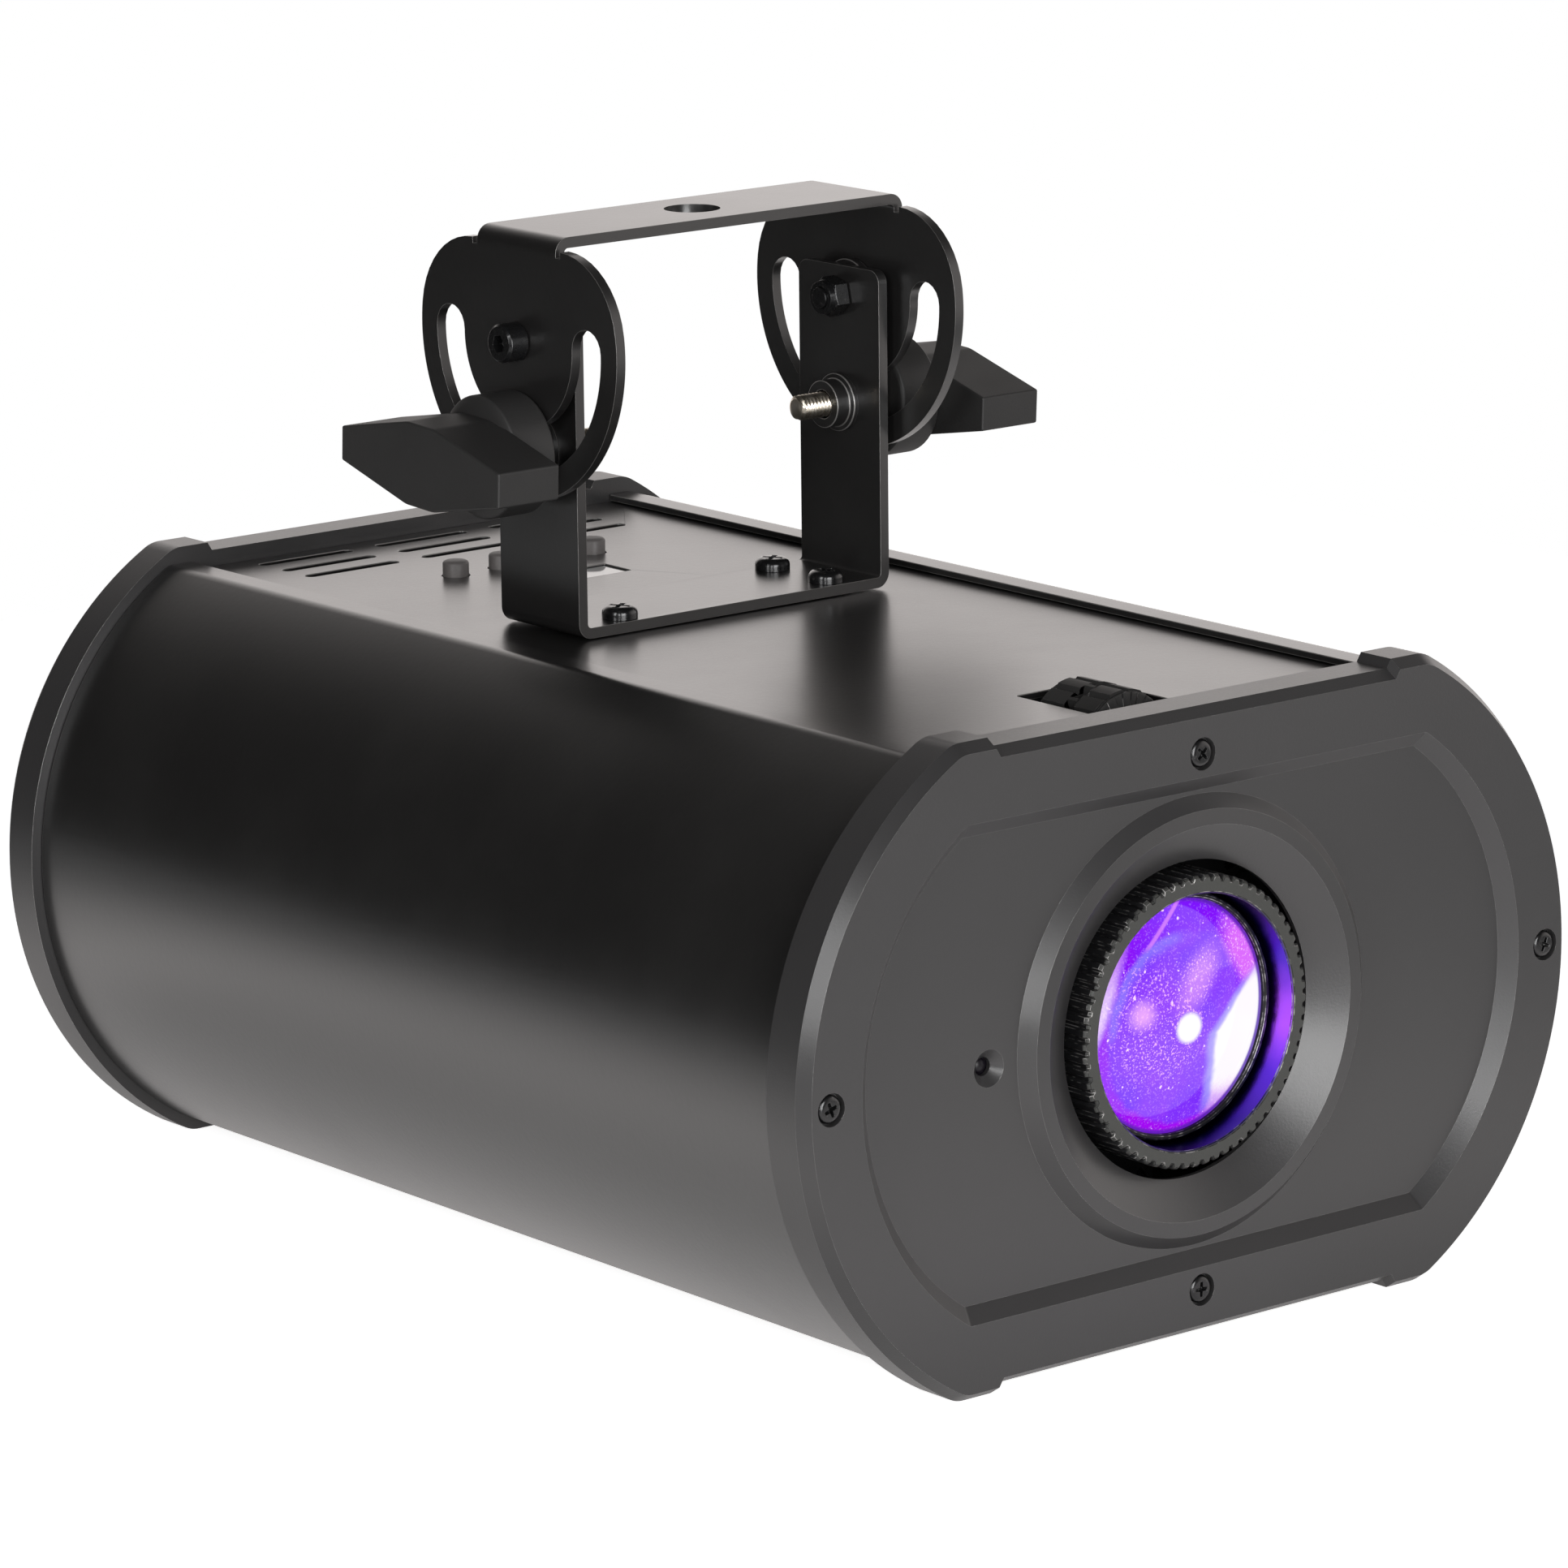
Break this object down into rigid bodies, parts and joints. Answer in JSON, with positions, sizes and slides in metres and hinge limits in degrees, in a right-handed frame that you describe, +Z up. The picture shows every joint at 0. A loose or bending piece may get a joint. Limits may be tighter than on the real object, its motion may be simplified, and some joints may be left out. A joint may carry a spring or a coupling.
{
  "type": "water wave effect light",
  "caption": "Compact stage projector that throws a rippling water pattern, with a focus ring behind a round lens and a slotted tilting bracket for hanging.",
  "frame": {"origin": "centre of the object's footprint, level with the corner pads of the two bezels that it stands on", "axes": "+Z up; the lens looks along -Y; +X is to the right as the front is faced, the side where the fan is"},
  "size_m": [0.214, 0.288, 0.2214],
  "materials": {
    "bezel_plastic": "fine grained charcoal moulding",
    "black_powder_coat": "satin black powder coat",
    "black_plastic": "matt black moulding",
    "black_steel": "black oxide",
    "zinc_steel": "bright zinc",
    "galvanised_sheet": "dull galvanised",
    "aluminium": "as extruded",
    "black_anodised": "satin black anodised",
    "coated_glass": "polished, coated",
    "ripple_glass": "rippled, clear",
    "filter_glass": "dichroic, polished",
    "smoked_window": "smoked, polished",
    "circuit_board": "green solder mask"
  },
  "bodies": {
    "housing": {"front_bezel": "bezel_plastic", "rear_bezel": "bezel_plastic", "front_screw_1": "black_steel", "front_screw_2": "black_steel", "front_screw_3": "black_steel", "front_screw_4": "black_steel", "right_side_shell": "black_powder_coat", "left_side_shell": "black_powder_coat", "top_panel": "black_powder_coat", "bottom_panel": "black_powder_coat", "rear_plate": "black_powder_coat", "yoke_base": "black_powder_coat", "yoke_screw_1": "black_steel", "yoke_screw_2": "black_steel", "yoke_screw_3": "black_steel", "yoke_screw_4": "black_steel", "pivot_bolt_left": "black_steel", "pivot_bolt_right": "black_steel", "pivot_nut_left": "black_steel", "pivot_nut_right": "black_steel", "guide_tube": "black_anodised", "focus_axle": "zinc_steel", "wheel_bracket": "galvanised_sheet", "infrared_sensor": "smoked_window", "front_bulkhead": "galvanised_sheet", "effect_plate": "galvanised_sheet", "ripple_motor_left": "zinc_steel", "ripple_motor_right": "zinc_steel", "color_motor": "zinc_steel", "condenser_holder": "black_anodised", "condenser_lens": "ripple_glass", "led_module": "aluminium", "lamp_bracket": "galvanised_sheet", "heat_sink": "aluminium", "fan_frame": "black_plastic", "power_inlet": "black_plastic", "signal_input": "black_plastic", "signal_output": "black_plastic", "control_board": "circuit_board", "display_window": "smoked_window", "power_supply": "circuit_board"},
    "hanger": {"hanger": "black_powder_coat"},
    "left_knob": {"clamp_knob_left": "black_plastic", "clamp_stud_left": "zinc_steel"},
    "right_knob": {"clamp_knob_right": "black_plastic", "clamp_stud_right": "zinc_steel"},
    "focus_ring": {"focus_ring": "black_plastic"},
    "lens_group": {"lens_cell": "black_anodised", "front_lens": "coated_glass", "lens_retainer": "black_anodised"},
    "focus_wheel": {"focus_wheel": "black_plastic"},
    "ripple_wheel_left": {"ripple_wheel_left": "ripple_glass"},
    "ripple_wheel_right": {"ripple_wheel_right": "ripple_glass"},
    "color_wheel": {"color_wheel": "black_anodised", "color_filters": "filter_glass"},
    "fan_rotor": {"fan_rotor": "black_plastic"},
    "button_1": {"button_1": "black_plastic"},
    "button_2": {"button_2": "black_plastic"},
    "button_3": {"button_3": "black_plastic"},
    "button_4": {"button_4": "black_plastic"}
  },
  "joints": [
    {"name": "hanger_tilt", "type": "hinge", "parent": "housing", "child": "hanger", "pos_m": [0, 0.0225, 0.1974], "axis": [1, 0, 0], "range_deg": [-95, 95]},
    {"name": "left_knob_turn", "type": "hinge", "parent": "housing", "child": "left_knob", "pos_m": [-0.049, 0.0225, 0.1732], "axis": [-1, 0, 0], "range_deg": [0, 360]},
    {"name": "right_knob_turn", "type": "hinge", "parent": "housing", "child": "right_knob", "pos_m": [0.049, 0.0225, 0.1732], "axis": [1, 0, 0], "range_deg": [0, 360]},
    {"name": "focus_turn", "type": "hinge", "parent": "housing", "child": "focus_ring", "pos_m": [0, -0.108, 0.069], "axis": [0, 1, 0], "range_deg": [0, 120]},
    {"name": "focus_wheel_turn", "type": "hinge", "parent": "housing", "child": "focus_wheel", "pos_m": [0.0017, -0.1097, 0.12372], "axis": [0, 1, 0], "range_deg": [-506, 0]},
    {"name": "lens_slide", "type": "slide", "parent": "housing", "child": "lens_group", "axis": [0, 1, 0], "range_m": [0, 0.01]},
    {"name": "ripple_left_spin", "type": "hinge", "parent": "housing", "child": "ripple_wheel_left", "pos_m": [-0.042, -0.0535, 0.069], "axis": [0, 1, 0], "continuous": true},
    {"name": "ripple_right_spin", "type": "hinge", "parent": "housing", "child": "ripple_wheel_right", "pos_m": [0.042, -0.0625, 0.069], "axis": [0, 1, 0], "continuous": true},
    {"name": "color_wheel_spin", "type": "hinge", "parent": "housing", "child": "color_wheel", "pos_m": [0.043, -0.0465, 0.069], "axis": [0, 1, 0], "continuous": true},
    {"name": "fan_spin", "type": "hinge", "parent": "housing", "child": "fan_rotor", "pos_m": [0.046, 0.123, 0.069], "axis": [0, 1, 0], "continuous": true},
    {"name": "button_1_press", "type": "slide", "parent": "housing", "child": "button_1", "axis": [0, 0, -1], "range_m": [0, 0.0005], "stiffness_N_per_m": 800},
    {"name": "button_2_press", "type": "slide", "parent": "housing", "child": "button_2", "axis": [0, 0, -1], "range_m": [0, 0.0005], "stiffness_N_per_m": 800},
    {"name": "button_3_press", "type": "slide", "parent": "housing", "child": "button_3", "axis": [0, 0, -1], "range_m": [0, 0.0005], "stiffness_N_per_m": 800},
    {"name": "button_4_press", "type": "slide", "parent": "housing", "child": "button_4", "axis": [0, 0, -1], "range_m": [0, 0.0005], "stiffness_N_per_m": 800}
  ],
  "couplings": [
    {"joint": "focus_wheel_turn", "follows": "focus_turn", "ratio": -4.2143},
    {"joint": "lens_slide", "follows": "focus_turn", "m_per_rad": 0.0047746}
  ]
}
